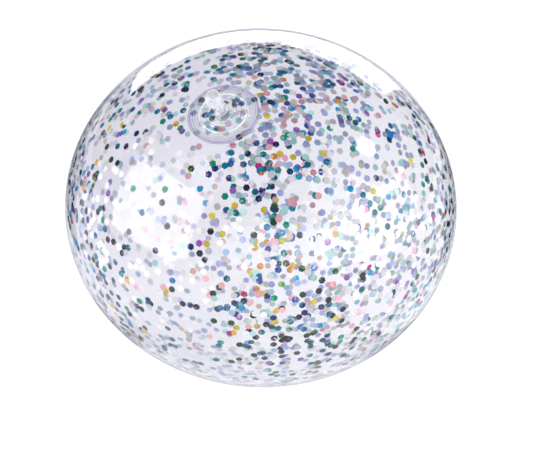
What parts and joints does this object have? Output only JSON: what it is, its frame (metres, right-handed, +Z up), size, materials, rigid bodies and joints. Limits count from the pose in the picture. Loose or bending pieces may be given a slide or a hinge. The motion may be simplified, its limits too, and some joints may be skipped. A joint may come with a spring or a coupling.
{
  "type": "inflatable glitter ball",
  "caption": "Clear inflatable play ball with loose holographic glitter flakes inside and a plugged oral inflation valve.",
  "frame": {"origin": "middle of the flat foot the ball stands on", "axes": "+Z up through the ball's flattened axis, -Y to the front, with the valve up and to the left of the front"},
  "size_m": [0.23, 0.23, 0.2047],
  "materials": {
    "clear_film": "clear glossy vinyl film",
    "flange_vinyl": "clear soft vinyl",
    "diaphragm_vinyl": "clear soft vinyl, thin",
    "stem_vinyl": "clear soft vinyl",
    "plug_vinyl": "clear moulded vinyl",
    "strap_vinyl": "clear soft vinyl",
    "flap_vinyl": "grey soft vinyl",
    "teal_foil": "holographic foil film",
    "navy_foil": "holographic foil film",
    "emerald_foil": "holographic foil film",
    "azure_foil": "holographic foil film",
    "magenta_foil": "holographic foil film",
    "violet_foil": "holographic foil film",
    "gold_foil": "holographic foil film",
    "silver_foil": "holographic foil film"
  },
  "bodies": {
    "ball": {"ball_skin": "clear_film", "valve_flange": "flange_vinyl", "valve_diaphragm": "diaphragm_vinyl", "glitter_flake_01": "teal_foil", "glitter_flake_02": "navy_foil", "glitter_flake_03": "emerald_foil", "glitter_flake_04": "azure_foil", "glitter_flake_05": "magenta_foil", "glitter_flake_06": "violet_foil", "glitter_flake_07": "gold_foil", "glitter_flake_08": "silver_foil", "glitter_flake_09": "teal_foil", "glitter_flake_10": "navy_foil", "glitter_flake_11": "emerald_foil", "glitter_flake_12": "azure_foil", "glitter_flake_13": "magenta_foil", "glitter_flake_14": "violet_foil", "glitter_flake_15": "gold_foil", "glitter_flake_16": "silver_foil", "glitter_flake_17": "teal_foil", "glitter_flake_18": "navy_foil", "glitter_flake_19": "emerald_foil", "glitter_flake_20": "azure_foil", "glitter_flake_21": "magenta_foil", "glitter_flake_22": "violet_foil", "glitter_flake_23": "gold_foil", "glitter_flake_24": "silver_foil", "glitter_flake_25": "teal_foil", "glitter_flake_26": "navy_foil", "glitter_flake_27": "emerald_foil", "glitter_flake_28": "azure_foil", "glitter_flake_29": "magenta_foil", "glitter_flake_30": "violet_foil", "glitter_flake_31": "gold_foil", "glitter_flake_32": "silver_foil", "glitter_flake_33": "teal_foil", "glitter_flake_34": "navy_foil", "glitter_flake_35": "emerald_foil", "glitter_flake_36": "azure_foil", "glitter_flake_37": "magenta_foil", "glitter_flake_38": "violet_foil", "glitter_flake_39": "gold_foil", "glitter_flake_40": "silver_foil", "glitter_flake_41": "teal_foil", "glitter_flake_42": "navy_foil", "glitter_flake_43": "emerald_foil", "glitter_flake_44": "azure_foil", "glitter_flake_45": "magenta_foil", "glitter_flake_46": "violet_foil", "glitter_flake_47": "gold_foil", "glitter_flake_48": "silver_foil"},
    "stem": {"valve_stem": "stem_vinyl", "plug_strap": "strap_vinyl"},
    "plug": {"plug": "plug_vinyl"},
    "flap": {"check_flap": "flap_vinyl"}
  },
  "joints": [
    {"name": "stem_push", "type": "slide", "parent": "ball", "child": "stem", "axis": [0.4233, 0.4488, -0.7871], "range_m": [0, 0.011], "deforming": ["valve_diaphragm"]},
    {"name": "plug_pull", "type": "slide", "parent": "stem", "child": "plug", "axis": [-0.4233, -0.4488, 0.7871], "range_m": [0, 0.012], "deforming": ["plug_strap"]},
    {"name": "flap_open", "type": "hinge", "parent": "stem", "child": "flap", "pos_m": [-0.02025, -0.05952, 0.18516], "axis": [0, -0.8687, -0.4953], "range_deg": [0, 55], "stiffness_Nm_per_rad": 0.0001}
  ]
}
